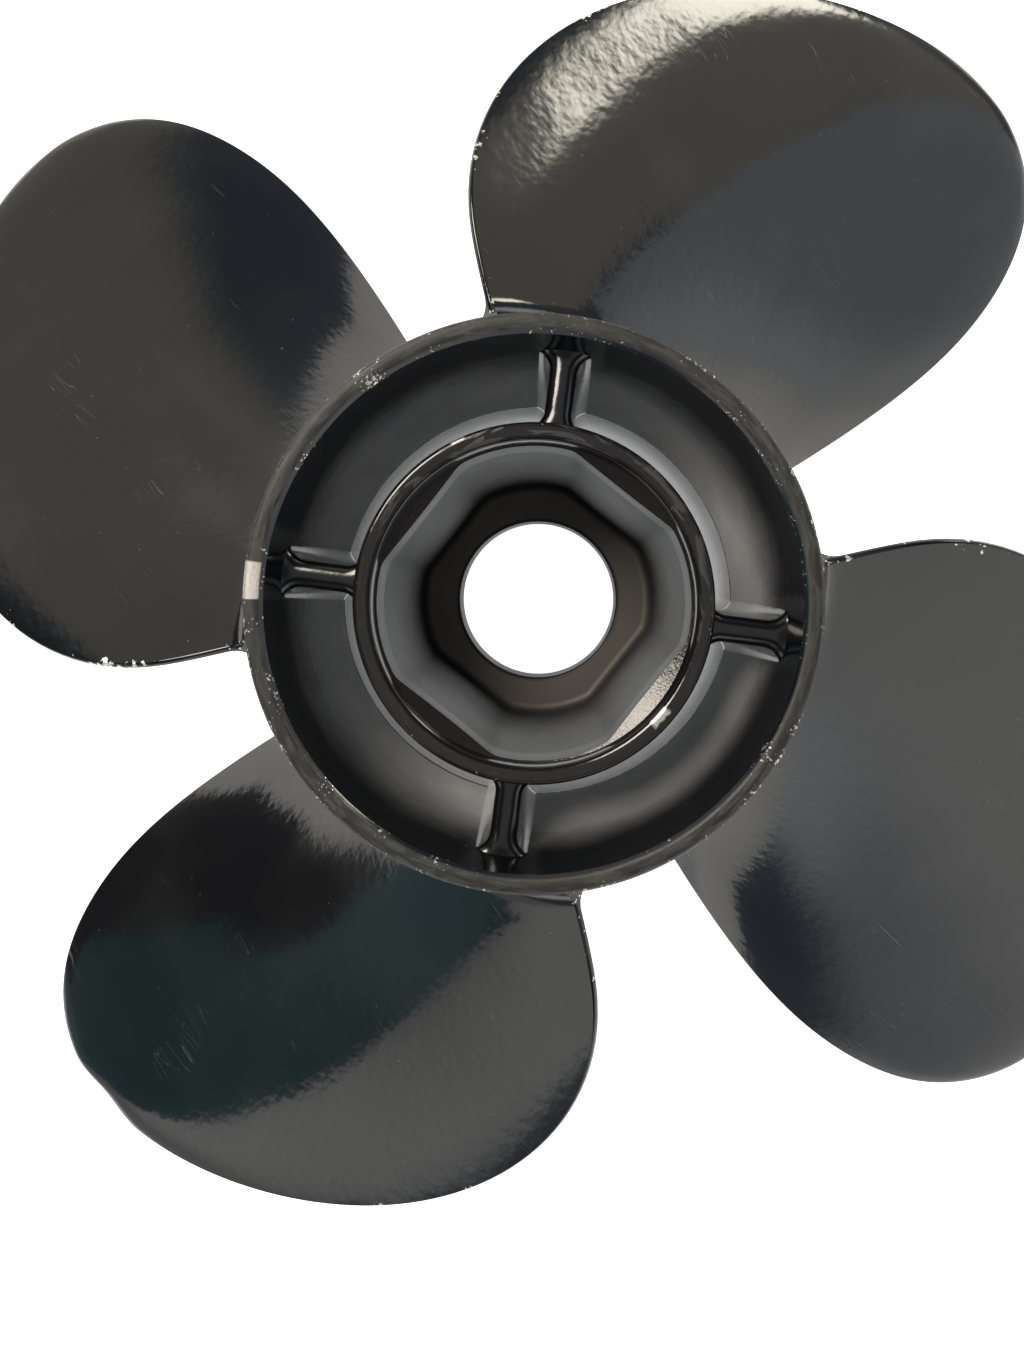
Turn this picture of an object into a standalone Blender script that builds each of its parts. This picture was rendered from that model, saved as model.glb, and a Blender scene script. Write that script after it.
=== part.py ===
"""Four-blade through-hub-exhaust outboard propeller: one aluminium casting, split at its natural junctions.

The frame is +Z along the shaft towards the bow, with the origin at the centre of the aft rim, on which the
propeller stands. Blade 1's tip points along +X. Lengths are in metres.
"""

import math

import bmesh
import bpy
import numpy as np

# Propeller
DIAMETER = 0.381
PITCH = 0.4318
RAKE = 0.045
BLADES = 4
TIP_RADIUS = DIAMETER / 2

# Barrel, the outer tube that the blades stand on
BARREL_LENGTH = 0.128
BARREL_RADIUS = 0.0603
RIM_BORE_RADIUS = 0.0560
RIM_HEIGHT = 0.010
WAIST_DEPTH = 0.052
WAIST_RADIUS = 0.0504
AFT_BORE_RADIUS = 0.0545
FLARE_HEIGHT = 0.0135
FLARE_RADIUS = 0.0635
FLARE_LIP = 0.0030
RIM_CHAMFER = 0.0008

# Inner hub, with the tapered drive socket: a cone cut by four flats
HUB_FRONT_DEPTH = 0.0095
HUB_REAR_Z = 0.040
HUB_FRONT_RADIUS = 0.0394
HUB_REAR_RADIUS = 0.0365
COLLAR_HEIGHT = 0.010
MOUTH_RADIUS = 0.0346
MOUTH_DEPTH = 0.0035
SOCKET_TOP_RADIUS = 0.0345
SOCKET_FLOOR_RADIUS = 0.0313
SOCKET_FLOOR_DEPTH = 0.068
SOCKET_FLAT_RATIO = 0.918
SOCKET_TURN = math.radians(5.4)
SHAFT_HOLE_RADIUS = 0.0217
FLOOR_THICKNESS = 0.012
WASHER_SEAT_RADIUS = 0.0280

# Ribs between the hub and the barrel
RIBS = 4
RIB_TURN = math.radians(36.4)
RIB_THICKNESS = 0.006
RIB_FRONT_DEPTH = 0.0105
RIB_REAR_Z = 0.046

# Blade sections: radius as a share of the tip radius, leading edge and trailing edge in degrees, thickness
BLADE_STATIONS = (
    (0.333, 52.0, -19.7, 0.0115),
    (0.440, 52.8, -18.8, 0.0100),
    (0.550, 50.0, -17.8, 0.0085),
    (0.660, 43.7, -16.6, 0.0070),
    (0.770, 34.4, -14.8, 0.0056),
    (0.880, 22.2, -11.7, 0.0044),
    (0.960, 11.1, -7.5, 0.0036),
)
LEADING_EDGE_DEPTH = 0.0085
EDGE_THICKNESS = 0.0016
FILLET_RADIUS = 0.0065
FILLET_CHORD = 0.003
CUP_SHARE = 0.10
CUP_DROP = 0.0012
BLADE_ROWS = 12
FILLET_ROWS = 4
CHORD_STEPS = 18
EDGE_STEPS = 5
TIP_STOP = 0.012

GAP = 0.0003
CUT_OVERLAP = 0.0010
ROUND_STEPS = 64
BORE_STEPS = 4
PAINT = (0.012, 0.012, 0.014, 1.0)


def clear_scene():
    for obj in list(bpy.data.objects):
        bpy.data.objects.remove(obj, do_unlink=True)


def make_collection(name):
    collection = bpy.data.collections.new(name)
    bpy.context.scene.collection.children.link(collection)
    return collection


def paint(name, roughness, colour=PAINT):
    """A coat of black paint on one piece."""
    material = bpy.data.materials.new(name + "_paint")
    material.use_nodes = True
    shader = material.node_tree.nodes["Principled BSDF"]
    shader.inputs["Base Color"].default_value = colour
    shader.inputs["Roughness"].default_value = roughness
    shader.inputs["Metallic"].default_value = 0.0
    material.diffuse_color = colour
    return material


def add_object(name, mesh, collection, roughness=None):
    obj = bpy.data.objects.new(name, mesh)
    collection.objects.link(obj)
    if roughness is not None:
        obj.data.materials.append(paint(name, roughness))
    return obj


def smooth(mesh, sharp_degrees=30):
    mesh.shade_smooth()
    mesh.set_sharp_from_angle(angle=math.radians(sharp_degrees))


def turned(name, profile, collection, roughness=None):
    """A closed outline of (radius, height) points, listed down its outer side, turned about Z."""
    mesh = bpy.data.meshes.new(name)
    points = [(radius, 0.0, height) for radius, height in profile]
    count = len(points)
    mesh.from_pydata(points, [(i, (i + 1) % count) for i in range(count)], [])
    obj = add_object(name, mesh, collection, roughness)
    screw = obj.modifiers.new("Turn", "SCREW")
    screw.steps = ROUND_STEPS
    screw.render_steps = ROUND_STEPS
    screw.use_merge_vertices = True
    screw.merge_threshold = 0.00001
    screw.use_smooth_shade = True
    return obj


def cut(obj, cutter, operation="DIFFERENCE"):
    boolean = obj.modifiers.new("Cut_" + cutter.name, "BOOLEAN")
    boolean.operation = operation
    boolean.object = cutter
    boolean.solver = "EXACT"


def helper(obj):
    obj.hide_render = True
    obj.display_type = "WIRE"
    return obj


def blend(start, end, share):
    return start + (end - start) * share


# --- barrel -------------------------------------------------------------------------------------


def bore_radius(height):
    """Inner radius of the barrel: it narrows from the front rim to the waist, and widens again aft."""
    waist_z = BARREL_LENGTH - WAIST_DEPTH
    if height >= waist_z:
        depth = BARREL_LENGTH - height
        return RIM_BORE_RADIUS - (RIM_BORE_RADIUS - WAIST_RADIUS) * (depth / WAIST_DEPTH) ** 1.25
    return blend(AFT_BORE_RADIUS, WAIST_RADIUS, (height - FLARE_HEIGHT) / (waist_z - FLARE_HEIGHT))


def barrel_band(low, high, steps):
    """Outline of the plain barrel between two heights."""
    outer = [(BARREL_RADIUS, high), (BARREL_RADIUS, low)]
    inner = [(bore_radius(z), z) for z in np.linspace(low, high, steps + 1)]
    return outer + inner


def make_front_rim(collection):
    top = BARREL_LENGTH
    low = top - RIM_HEIGHT + GAP
    profile = [
        (BARREL_RADIUS - RIM_CHAMFER, top),
        (BARREL_RADIUS, top - RIM_CHAMFER),
        (BARREL_RADIUS, low),
        (bore_radius(low), low),
        (bore_radius(top - RIM_CHAMFER), top - RIM_CHAMFER),
        (RIM_BORE_RADIUS + RIM_CHAMFER, top),
    ]
    turned("front_rim", profile, collection, 0.45)


def make_barrel(collection):
    waist_z = BARREL_LENGTH - WAIST_DEPTH
    front = barrel_band(waist_z, BARREL_LENGTH - RIM_HEIGHT, BORE_STEPS)
    turned("barrel_front", front, collection, 0.30)
    turned("barrel_rear", barrel_band(FLARE_HEIGHT, waist_z - GAP, 1), collection, 0.30)


def make_diffuser_ring(collection):
    """The aft end flares outwards, so that the water draws the exhaust out."""
    top = FLARE_HEIGHT - GAP
    profile = [(BARREL_RADIUS, top)]
    for share in (0.35, 0.65, 0.85, 1.0):
        outward = (FLARE_RADIUS - BARREL_RADIUS) * share**2
        profile.append((BARREL_RADIUS + outward, top * (1 - share) + FLARE_LIP * share))
    profile.append((FLARE_RADIUS, 0.0))
    profile.append((FLARE_RADIUS - FLARE_LIP, 0.0))
    for share in (0.35, 0.70):
        inward = (FLARE_RADIUS - FLARE_LIP - AFT_BORE_RADIUS) * (1 - share) ** 2
        profile.append((AFT_BORE_RADIUS + inward, top * share))
    profile.append((AFT_BORE_RADIUS, top))
    turned("diffuser_ring", profile, collection, 0.30)


# --- hub ----------------------------------------------------------------------------------------


def hub_radius(height):
    """Outer radius of the inner hub, which tapers aft so that it leaves its mould."""
    front_z = BARREL_LENGTH - HUB_FRONT_DEPTH
    share = (height - HUB_REAR_Z) / (front_z - HUB_REAR_Z)
    return blend(HUB_REAR_RADIUS, HUB_FRONT_RADIUS, share)


def make_socket_cutter(collection):
    """The space that the drive socket leaves: a tapered cone whose four flats lie on a tapered square."""
    floor_z = BARREL_LENGTH - SOCKET_FLOOR_DEPTH
    mouth_z = BARREL_LENGTH - HUB_FRONT_DEPTH - MOUTH_DEPTH
    top_z = mouth_z + CUT_OVERLAP
    past_mouth = (top_z - floor_z) / (mouth_z - floor_z)
    top_radius = blend(SOCKET_FLOOR_RADIUS, SOCKET_TOP_RADIUS, past_mouth)
    flat_share = SOCKET_FLAT_RATIO * math.sqrt(2)
    shapes = (("socket_cone", ROUND_STEPS, 1.0), ("socket_square", 4, flat_share))
    made = []
    for name, sides, share in shapes:
        mesh = bpy.data.meshes.new(name)
        body = bmesh.new()
        bmesh.ops.create_cone(
            body,
            cap_ends=True,
            segments=sides,
            radius1=SOCKET_FLOOR_RADIUS * share,
            radius2=top_radius * share,
            depth=top_z - floor_z,
        )
        body.to_mesh(mesh)
        body.free()
        obj = helper(add_object(name, mesh, collection))
        obj.location.z = (top_z + floor_z) / 2
        made.append(obj)
    cone, square = made
    square.rotation_euler.z = SOCKET_TURN + math.radians(45)
    cut(cone, square, "INTERSECT")
    return cone


def hub_band(low, high, bore):
    return [(hub_radius(high), high), (hub_radius(low), low), (bore, low), (bore, high)]


def make_hub(collection, cutters):
    """The hub's front collar, socket and rear flange."""
    front_z = BARREL_LENGTH - HUB_FRONT_DEPTH
    collar_z = front_z - COLLAR_HEIGHT
    floor_z = BARREL_LENGTH - SOCKET_FLOOR_DEPTH
    mouth_z = front_z - MOUTH_DEPTH
    core = SHAFT_HOLE_RADIUS
    socket = make_socket_cutter(cutters)

    chamfer = RIM_CHAMFER
    profile = [
        (HUB_FRONT_RADIUS - chamfer, front_z),
        (HUB_FRONT_RADIUS, front_z - chamfer),
        (hub_radius(collar_z), collar_z + GAP),
        (core, collar_z + GAP),
        (core, mouth_z),
        (MOUTH_RADIUS, mouth_z),
        (MOUTH_RADIUS, front_z - chamfer / 2),
        (MOUTH_RADIUS + chamfer / 2, front_z),
    ]
    collar = turned("hub_front_collar", profile, collection, 0.40)
    cut(collar, socket)

    wall = turned("drive_socket", hub_band(floor_z + GAP, collar_z, core), collection, 0.55)
    cut(wall, socket)

    profile = [
        (hub_radius(floor_z), floor_z),
        (HUB_REAR_RADIUS, HUB_REAR_Z),
        (WASHER_SEAT_RADIUS, HUB_REAR_Z),
        (WASHER_SEAT_RADIUS, floor_z - FLOOR_THICKNESS),
        (core, floor_z - FLOOR_THICKNESS),
        (core, floor_z),
    ]
    turned("hub_rear_flange", profile, collection, 0.55)


# --- ribs ---------------------------------------------------------------------------------------


def make_rib_space(cutters):
    """The ring-shaped exhaust passage between the hub and the barrel, less a gap on each side."""
    low = HUB_REAR_Z
    high = BARREL_LENGTH - RIM_HEIGHT
    waist_z = BARREL_LENGTH - WAIST_DEPTH
    heights = list(np.linspace(high, waist_z, BORE_STEPS + 1)) + [low]
    outer = [(bore_radius(z) - GAP, z) for z in heights]
    inner = [(hub_radius(z) + GAP, z) for z in (low, high)]
    return helper(turned("rib_space", outer + inner, cutters))


def make_ribs(collection, cutters):
    space = make_rib_space(cutters)
    top = BARREL_LENGTH - RIB_FRONT_DEPTH
    length = BARREL_RADIUS - SHAFT_HOLE_RADIUS
    mesh = bpy.data.meshes.new("rib")
    body = bmesh.new()
    bmesh.ops.create_cube(body, size=1.0)
    bmesh.ops.scale(body, vec=(length, RIB_THICKNESS, top - RIB_REAR_Z), verts=body.verts)
    centre = ((BARREL_RADIUS + SHAFT_HOLE_RADIUS) / 2, 0.0, (top + RIB_REAR_Z) / 2)
    bmesh.ops.translate(body, vec=centre, verts=body.verts)
    along = [edge for edge in body.edges if abs((edge.verts[0].co - edge.verts[1].co).x) > length / 2]
    bmesh.ops.bevel(body, geom=along, offset=RIB_THICKNESS * 0.42, segments=3, profile=0.5, affect="EDGES")
    body.to_mesh(mesh)
    body.free()
    smooth(mesh)
    mesh.materials.append(paint("rib", 0.35))
    for index in range(RIBS):
        rib = add_object(f"rib_{index + 1}", mesh, collection)
        rib.rotation_euler.z = RIB_TURN + math.tau * index / RIBS
        cut(rib, space, "INTERSECT")


# --- blades -------------------------------------------------------------------------------------


def station(radius):
    """Leading edge, trailing edge (radians) and thickness at a radius.

    Both edges turn square to the radius at the tip, so they run smoothly against the square root of the
    distance from it.
    """
    shares = [math.sqrt(1 - row[0]) for row in BLADE_STATIONS] + [0.0]
    place = math.sqrt(max(0.0, 1 - radius / TIP_RADIUS))
    columns = []
    for column, at_tip in ((1, 0.0), (2, 0.0), (3, EDGE_THICKNESS)):
        values = [row[column] for row in BLADE_STATIONS] + [at_tip]
        columns.append(curve_through(shares[::-1], values[::-1], place))
    leading, trailing, thickness = columns
    return math.radians(leading), math.radians(trailing), thickness


def curve_through(places, values, place):
    """The natural cubic spline through these values, read at one place."""
    x = np.array(places)
    y = np.array(values)
    step = np.diff(x)
    system = np.eye(len(x))
    right = np.zeros(len(x))
    for i in range(1, len(x) - 1):
        system[i, i - 1 : i + 2] = (step[i - 1], 2 * (step[i - 1] + step[i]), step[i])
        right[i] = 3 * ((y[i + 1] - y[i]) / step[i] - (y[i] - y[i - 1]) / step[i - 1])
    bend = np.linalg.solve(system, right)
    i = int(np.clip(np.searchsorted(x, place) - 1, 0, len(step) - 1))
    slope = (y[i + 1] - y[i]) / step[i] - step[i] * (2 * bend[i] + bend[i + 1]) / 3
    along = place - x[i]
    return y[i] + along * (slope + along * (bend[i] + along * (bend[i + 1] - bend[i]) / (3 * step[i])))


def blade_point(radius, share, side, flare):
    """A point of the blade: share runs from the trailing to the leading edge, side is 1 fore and -1 aft."""
    leading, trailing, thickness = station(radius)
    turn = blend(trailing, leading, share)
    root_leading = math.radians(BLADE_STATIONS[0][1])
    height = BARREL_LENGTH - LEADING_EDGE_DEPTH + PITCH * (turn - root_leading) / math.tau
    height -= RAKE * (radius - BARREL_RADIUS)
    height -= CUP_DROP * (1 - (radius / TIP_RADIUS) ** 8) * max(0.0, 1 - share / CUP_SHARE) ** 2
    offset = side * (EDGE_THICKNESS / 2 + FILLET_RADIUS * flare)
    if side > 0:
        offset += (thickness - EDGE_THICKNESS) * (1 - abs(2 * share - 1) ** 2.2)
    lean = math.atan2(PITCH, math.tau * radius)
    chordwise = FILLET_CHORD * flare * (2 * share - 1)
    arc = chordwise * math.cos(lean) - offset * math.sin(lean)
    height += chordwise * math.sin(lean) + offset * math.cos(lean)
    turn += arc / radius
    return (radius * math.cos(turn), radius * math.sin(turn), height)


def blade_rows():
    """(radius, flare) of each section, from the barrel to the tip."""
    root = BARREL_RADIUS + GAP
    rows = []
    for step in range(FILLET_ROWS):
        angle = math.pi / 2 * step / FILLET_ROWS
        rows.append((root + FILLET_RADIUS * (1 - math.cos(angle)), 1 - math.sin(angle)))
    start = root + FILLET_RADIUS
    for step in range(BLADE_ROWS):
        share = blend(1.0, TIP_STOP, step / (BLADE_ROWS - 1))
        rows.append((TIP_RADIUS - (TIP_RADIUS - start) * share**2, 0.0))
    return rows


def section_sides(radius, flare):
    """The fore and aft sides of a section, both listed from the trailing to the leading edge."""
    shares = [0.5 - 0.5 * math.cos(math.pi * i / CHORD_STEPS) for i in range(CHORD_STEPS + 1)]
    return [[blade_point(radius, share, side, flare) for share in shares] for side in (1, -1)]


def section_loop(radius, flare):
    """A section's closed outline: fore side, leading edge, aft side, trailing edge."""
    fore, aft = section_sides(radius, flare)
    sides = [1 - 2 * step / EDGE_STEPS for step in range(1, EDGE_STEPS)]
    leading = [blade_point(radius, 1.0, side, flare) for side in sides]
    trailing = [blade_point(radius, 0.0, side, flare) for side in reversed(sides)]
    return fore + leading + aft[::-1] + trailing


def close_end(body, loop, radius, flare):
    """Fills a section with rows that run along its chord, all of them at the section's radius."""
    fore, aft = section_sides(radius, flare)
    last = CHORD_STEPS
    rows = [loop[: last + 1]]
    for step in range(1, EDGE_STEPS):
        row = [loop[-step]]
        for front, back in zip(fore[1:last], aft[1:last]):
            x, y, z = (blend(a, b, step / EDGE_STEPS) for a, b in zip(front, back))
            scale = radius / math.hypot(x, y)
            row.append(body.verts.new((x * scale, y * scale, z)))
        row.append(loop[last + step])
        rows.append(row)
    rows.append(loop[last + EDGE_STEPS : 2 * last + EDGE_STEPS + 1][::-1])
    for one, other in zip(rows, rows[1:]):
        for i in range(last):
            body.faces.new((one[i], other[i], other[i + 1], one[i + 1]))


def make_blade_mesh():
    body = bmesh.new()
    rows = blade_rows()
    loops = [[body.verts.new(point) for point in section_loop(*row)] for row in rows]
    count = len(loops[0])
    for lower, upper in zip(loops, loops[1:]):
        for i in range(count):
            j = (i + 1) % count
            body.faces.new((lower[i], lower[j], upper[j], upper[i]))
    close_end(body, loops[0], *rows[0])
    close_end(body, loops[-1], *rows[-1])
    bmesh.ops.triangulate(body, faces=body.faces, quad_method="SHORT_EDGE")
    bmesh.ops.recalc_face_normals(body, faces=body.faces)
    mesh = bpy.data.meshes.new("blade")
    body.to_mesh(mesh)
    body.free()
    smooth(mesh, 50)
    return mesh


def make_blades(collection):
    mesh = make_blade_mesh()
    mesh.materials.append(paint("blade", 0.15))
    for index in range(BLADES):
        blade = add_object(f"blade_{index + 1}", mesh, collection)
        blade.rotation_euler.z = math.tau * index / BLADES


def main():
    clear_scene()
    collection = make_collection("outboard_propeller")
    cutters = make_collection("cutters")
    make_front_rim(collection)
    make_barrel(collection)
    make_diffuser_ring(collection)
    make_hub(collection, cutters)
    make_ribs(collection, cutters)
    make_blades(collection)


main()
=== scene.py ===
"""The looks of a four-blade outboard propeller: gloss black paint over one worn aluminium casting.

Every visible piece stands for one CAD node, in the CAD's own frame: +Z along the shaft towards the bow, the
origin at the centre of the aft rim, blade 1's tip along +X. Lengths are in metres.
"""

import math

import bmesh
import bpy
import numpy as np
from mathutils import Matrix, Vector


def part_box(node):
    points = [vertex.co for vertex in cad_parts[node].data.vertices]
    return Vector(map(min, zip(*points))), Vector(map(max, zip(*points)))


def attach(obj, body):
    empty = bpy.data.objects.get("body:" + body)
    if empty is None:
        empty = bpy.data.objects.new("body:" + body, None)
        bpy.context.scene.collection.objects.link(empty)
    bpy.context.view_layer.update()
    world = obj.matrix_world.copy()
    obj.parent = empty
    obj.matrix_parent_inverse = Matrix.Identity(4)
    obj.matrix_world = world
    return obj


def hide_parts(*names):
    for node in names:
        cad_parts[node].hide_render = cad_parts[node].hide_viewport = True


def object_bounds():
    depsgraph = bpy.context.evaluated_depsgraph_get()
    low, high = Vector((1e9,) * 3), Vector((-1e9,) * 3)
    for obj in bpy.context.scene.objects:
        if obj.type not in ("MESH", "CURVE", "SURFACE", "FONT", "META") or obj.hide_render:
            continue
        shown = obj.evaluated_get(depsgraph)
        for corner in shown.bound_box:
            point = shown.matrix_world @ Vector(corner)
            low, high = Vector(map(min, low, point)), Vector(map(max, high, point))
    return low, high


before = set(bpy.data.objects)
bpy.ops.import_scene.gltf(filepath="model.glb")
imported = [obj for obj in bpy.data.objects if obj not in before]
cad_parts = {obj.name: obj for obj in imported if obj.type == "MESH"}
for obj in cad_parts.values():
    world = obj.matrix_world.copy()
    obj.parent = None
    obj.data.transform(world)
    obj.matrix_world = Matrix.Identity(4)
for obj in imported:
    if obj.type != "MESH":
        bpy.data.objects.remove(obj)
cad_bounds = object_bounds()

# Heights and radii that the frame gives
TIP_RADIUS = cad_bounds[1].x
FRONT_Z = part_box("front_rim")[1].z
RIM_LOW_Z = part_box("barrel_front")[1].z
WAIST_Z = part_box("barrel_front")[0].z
FLARE_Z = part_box("barrel_rear")[0].z
BARREL_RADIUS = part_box("front_rim")[1].x
FLARE_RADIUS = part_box("diffuser_ring")[1].x
HUB_FRONT_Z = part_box("hub_front_collar")[1].z
COLLAR_LOW_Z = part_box("drive_socket")[1].z
FLOOR_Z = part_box("hub_rear_flange")[1].z
HUB_REAR_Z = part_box("hub_rear_flange")[0].z
HUB_FRONT_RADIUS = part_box("hub_front_collar")[1].x
RIB_LOW_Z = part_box("rib_1")[0].z
RIB_TOP_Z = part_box("rib_1")[1].z

# The design that the CAD follows, where a box doesn't say it
BLADES = 4
PITCH = 0.4318
RAKE = 0.045
RIM_BORE_RADIUS = 0.0560
WAIST_RADIUS = 0.0504
AFT_BORE_RADIUS = 0.0545
FLARE_LIP = 0.0030
HUB_REAR_RADIUS = 0.0365
MOUTH_RADIUS = 0.0346
MOUTH_DEPTH = 0.0035
SOCKET_TOP_RADIUS = 0.0345
SOCKET_FLOOR_RADIUS = 0.0313
SOCKET_FLAT_RATIO = 0.918
SOCKET_TURN = math.radians(5.4)
SOCKET_CORNER = 0.00035
SOCKET_FOOT_ROUND = 0.0022
SHAFT_HOLE_RADIUS = 0.0217
FLOOR_THICKNESS = 0.012
FLOOR_CHAMFER = 0.0009
WASHER_SEAT_RADIUS = 0.0280
LEDGE_SLOPE = math.tan(math.radians(22))
LEDGE_OVERHANG = 0.00045
RIM_OUTER_ROUND = 0.0012
RIM_BORE_CHAMFER = 0.0009
COLLAR_ROUND = 0.0011
FLARE_LIP_ROUND = 0.0011
RIB_TURN = math.radians(36.4)
RIB_THICKNESS = 0.006
RIB_EDGE = 0.0026
RIB_HUB_FILLET = 0.0030
RIB_WALL_FILLET = 0.0046
RIB_DRAFT = 4.0
# The steps of the double line round the mouth: (out from the mouth's radius, share of the mouth's depth)
MOUTH_LINE = (
    (0.0005, 0.08),
    (0.0007, 0.45),
    (0.0008, 0.72),
    (0.0012, 0.80),
    (0.0014, 0.93),
    (0.0017, 0.98),
    (0.0022, 1.0),
)
# Blade sections: radius as a share of the tip radius, leading and trailing edge in degrees, thickness
BLADE_STATIONS = (
    (0.333, 52.0, -19.7, 0.0115),
    (0.440, 52.8, -18.8, 0.0100),
    (0.550, 50.0, -17.8, 0.0085),
    (0.660, 43.7, -16.6, 0.0070),
    (0.770, 34.4, -14.8, 0.0056),
    (0.880, 22.2, -11.7, 0.0044),
    (0.960, 11.1, -7.5, 0.0036),
)
LEADING_EDGE_DEPTH = 0.0085
EDGE_THICKNESS = 0.0016
FILLET_RADIUS = 0.0065
FILLET_CHORD = 0.003
EDGE_BULGE = 0.0004
CUP_SHARE = 0.10
CUP_DROP = 0.0012
# The knock beside one tip, as blade index, angle from the tip in degrees, spread in degrees and depth
DENTED_BLADE = 2
DENT_ANGLE = 2.6
DENT_SPREAD = 4.5
DENT_DEPTH = 0.0016

# Paint
MICRON = 1e-6
PAINT_IOR = 1.5
PAINT_BLACK = (0.0030, 0.0030, 0.0034)
PAINT_WARM_BLACK = (0.0042, 0.0040, 0.0038)
PAINT_BLUE_BLACK = (0.0030, 0.0034, 0.0046)
DUST = (0.09, 0.09, 0.085)
BARE_METAL = (0.62, 0.60, 0.56)
DULL_METAL = (0.36, 0.34, 0.30)
OVERSPRAY_DARK = (0.46, 0.47, 0.48)
OVERSPRAY_LIGHT = (0.60, 0.61, 0.62)
WORN_DARK = (0.007, 0.0067, 0.0063)
WORN_LIGHT = (0.042, 0.040, 0.036)
WORN_BROWN = (0.018, 0.016, 0.013)
HUB_BROWN = (0.012, 0.0085, 0.0075)
SOCKET_GREY = (0.052, 0.055, 0.058)
# Painted shade for the foot of the socket's wall, deep in the recess
SOCKET_PAINTED_SHADE = (0.012, 0.013, 0.014)
SOCKET_GRAIN = (0.13, 0.135, 0.14)
FLOOR_BROWN = (0.060, 0.051, 0.040)
FLOOR_DARK = (0.030, 0.026, 0.022)
OVERSPRAY_START_Z = FRONT_Z - 0.012
OVERSPRAY_FULL_Z = FRONT_Z - 0.046

# Places of the larger bare marks and of the painted highlight on the hub's ring, as first and last angle in
# degrees
RIM_PATCH = (125.0, 132.6)
COLLAR_HIGHLIGHT_PATCH = (-91.5, -84.5)
COLLAR_CHIP = (66.5, 71.0)

# Mesh fineness
ROUND_STEPS = 256
BLADE_ROWS = 72
FILLET_ROWS = 10
CHORD_STEPS = 72
EDGE_STEPS = 8
TIP_STOP = 0.003
EMBED = 0.0004
COLLAR_WALL_ROWS = 5
RIB_ACROSS = 36
RIB_OVER = 24
RIB_LEVELS = 20

# Studio panels, in degrees: start, end, soft start, soft end, lowest, highest, soft top and bottom; and
# their radiance
PANEL_ZERO = -70.0
ROOM = (0.22, 0.27, 0.35)
SHADE = (0.08, 0.08, 0.09)
CEILING = (0.55, 0.55, 0.55)
PANELS = (
    (-150, -29, 14, 2, -20, 42, 10, (1.05, 1.08, 1.15)),
    (-150, -29, 14, 2, -20, 10, 10, (1.45, 1.50, 1.58)),
    (-128, -72, 26, 20, -20, 42, 10, (1.65, 1.65, 1.63)),
    (-29, 9, 2, 4, 17, 42, 2, (0.98, 0.94, 0.82)),
    (-24, -2, 2, 8, -10, 17, 2, (0.35, 0.36, 0.38)),
    (-4, 7, 3, 4, 18, 27, 3, (17.0, 16.3, 13.8)),
    (41, 98, 12, 4, -20, 42, 6, (0.88, 0.84, 0.76)),
    (60, 74, 8, 8, -20, 14, 8, (1.6, 1.45, 1.25)),
    (101, 115, 4, 3, -20, 42, 6, (0.13, 0.13, 0.15)),
    (-260, -223, 4, 3, -20, 42, 6, (0.09, 0.09, 0.11)),
    (-233, -202, 3, 2, 18, 42, 2, (0.14, 0.33, 0.34)),
    (-222, -202, 2, 2, -20, 18, 2, (0.25, 0.47, 0.50)),
    (-201, -177, 2, 4, -20, 42, 10, (0.80, 0.80, 0.80)),
    (-201, -172, 2, 4, 21, 42, 14, (1.70, 1.70, 1.67)),
)
CEILING_LOW = (38.0, 46.0)
CEILING_HIGH = (60.0, 68.0)
FLOOR_HALF_SIDE = 6.0
FLOOR_GLOW = 0.95
# The lamp: compass angle and elevation in degrees, distance and size in metres, power in watts
KEY_DIRECTION = (89.0, 56.0)
KEY_DISTANCE = 3.0
KEY_SIZE = 1.2
KEY_POWER = 75.0

# Camera, measured from the centre of the front rim, before the view's turn about the shaft
VIEW_TURN = math.radians(-46.2)
CAMERA_OFFSET = Vector((0.0044, 0.0041, 0.1912))
CAMERA_AIM = Vector((0.0008, 0.0027, 0.0))
LENS = 24.53
SENSOR = 36.0
CAMERA_SHIFT = (-0.0176, -0.0666)


# --- meshes -------------------------------------------------------------------------------------


def mesh_object(name, points, faces, sharp_degrees=35):
    mesh = bpy.data.meshes.new(name)
    mesh.from_pydata([tuple(p) for p in points], [], faces)
    shape = bmesh.new()
    shape.from_mesh(mesh)
    bmesh.ops.recalc_face_normals(shape, faces=shape.faces)
    shape.to_mesh(mesh)
    shape.free()
    mesh.shade_smooth()
    mesh.set_sharp_from_angle(angle=math.radians(sharp_degrees))
    obj = bpy.data.objects.new(name, mesh)
    bpy.context.scene.collection.objects.link(obj)
    return obj


def grid_faces(rows, columns, close_rows=False, close_columns=False):
    """Quads over a grid of points stored row by row."""
    faces = []
    for i in range(rows if close_rows else rows - 1):
        for j in range(columns if close_columns else columns - 1):
            a = i * columns + j
            b = i * columns + (j + 1) % columns
            c = ((i + 1) % rows) * columns + (j + 1) % columns
            d = ((i + 1) % rows) * columns + j
            faces.append((a, b, c, d))
    return faces


def mark_points(piece, name, values):
    """Stores one number for each point, for the materials to read."""
    attribute = piece.data.attributes.new(name, "FLOAT", "POINT")
    attribute.data.foreach_set("value", np.asarray(values, dtype=np.float32))


def stand_for(piece, node, material):
    """Puts a finished piece in its CAD node's place."""
    piece.data.materials.append(material)
    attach(piece, "root")
    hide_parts(node)
    return piece


def blend(start, end, share):
    return start + (end - start) * share


def arc(centre, radius, start, end, steps):
    """Points on a circular arc in the (radius, height) plane, by angles in degrees."""
    angles = [math.radians(blend(start, end, i / steps)) for i in range(steps + 1)]
    return [(centre[0] + radius * math.cos(a), centre[1] + radius * math.sin(a)) for a in angles]


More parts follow.
